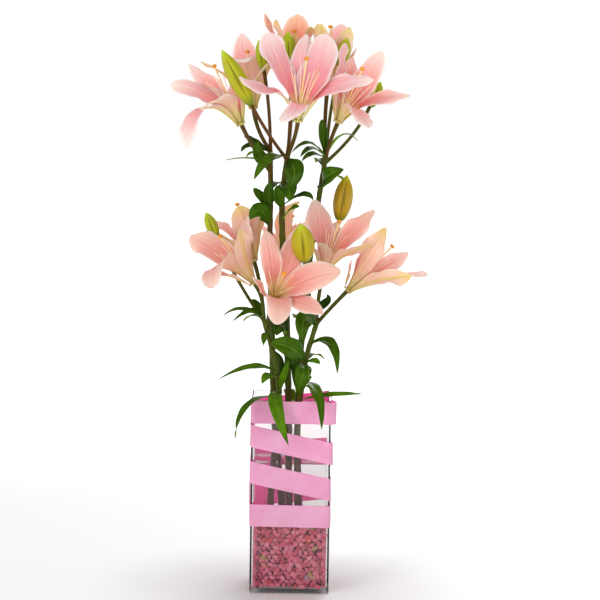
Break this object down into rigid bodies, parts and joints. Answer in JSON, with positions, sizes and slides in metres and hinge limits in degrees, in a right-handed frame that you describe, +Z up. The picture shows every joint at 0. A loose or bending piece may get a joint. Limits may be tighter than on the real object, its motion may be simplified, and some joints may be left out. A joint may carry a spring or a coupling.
{
  "type": "asiatic lily bunch in glass vase",
  "caption": "Two tiers of open pink lilies with buds and leafy stems, standing in water and pebbles in a tall square glass vase that is wound with a satin ribbon.",
  "frame": {"origin": "centre of the flat foot of the vase", "axes": "+Z up along the vase; -Y the side that the picture shows; +X its right"},
  "size_m": [0.3252, 0.2614, 0.7291],
  "materials": {
    "glass": "clear, polished",
    "gravel": "dyed pebbles, wet",
    "water": "clear water",
    "ribbon": "satin",
    "stem": "leaves with a soft gloss, stems dull",
    "petal": "soft, slightly translucent",
    "petal_salmon": "soft, slightly translucent",
    "stamens": "smooth, moist",
    "bud": "smooth, waxy"
  },
  "bodies": {
    "root": {"vase": "glass", "gravel": "gravel", "water": "water", "ribbon": "ribbon", "stem_1": "stem", "stem_2": "stem", "stem_3": "stem", "stem_4": "stem", "stem_5": "stem", "bloom_01": "petal", "stamens_01": "stamens", "bloom_02": "petal", "stamens_02": "stamens", "bloom_03": "petal", "stamens_03": "stamens", "bloom_04": "petal_salmon", "stamens_04": "stamens", "bloom_05": "petal", "stamens_05": "stamens", "bloom_06": "petal", "stamens_06": "stamens", "bloom_07": "petal", "stamens_07": "stamens", "bloom_08": "petal", "stamens_08": "stamens", "bloom_09": "petal", "stamens_09": "stamens", "bloom_10": "petal", "stamens_10": "stamens", "bloom_11": "petal_salmon", "stamens_11": "stamens", "bloom_12": "petal", "stamens_12": "stamens", "bud_1": "bud", "bud_2": "bud", "bud_3": "bud", "bud_4": "bud", "bud_5": "bud", "bud_6": "bud", "bud_7": "bud", "bud_8": "bud"}
  },
  "joints": []
}
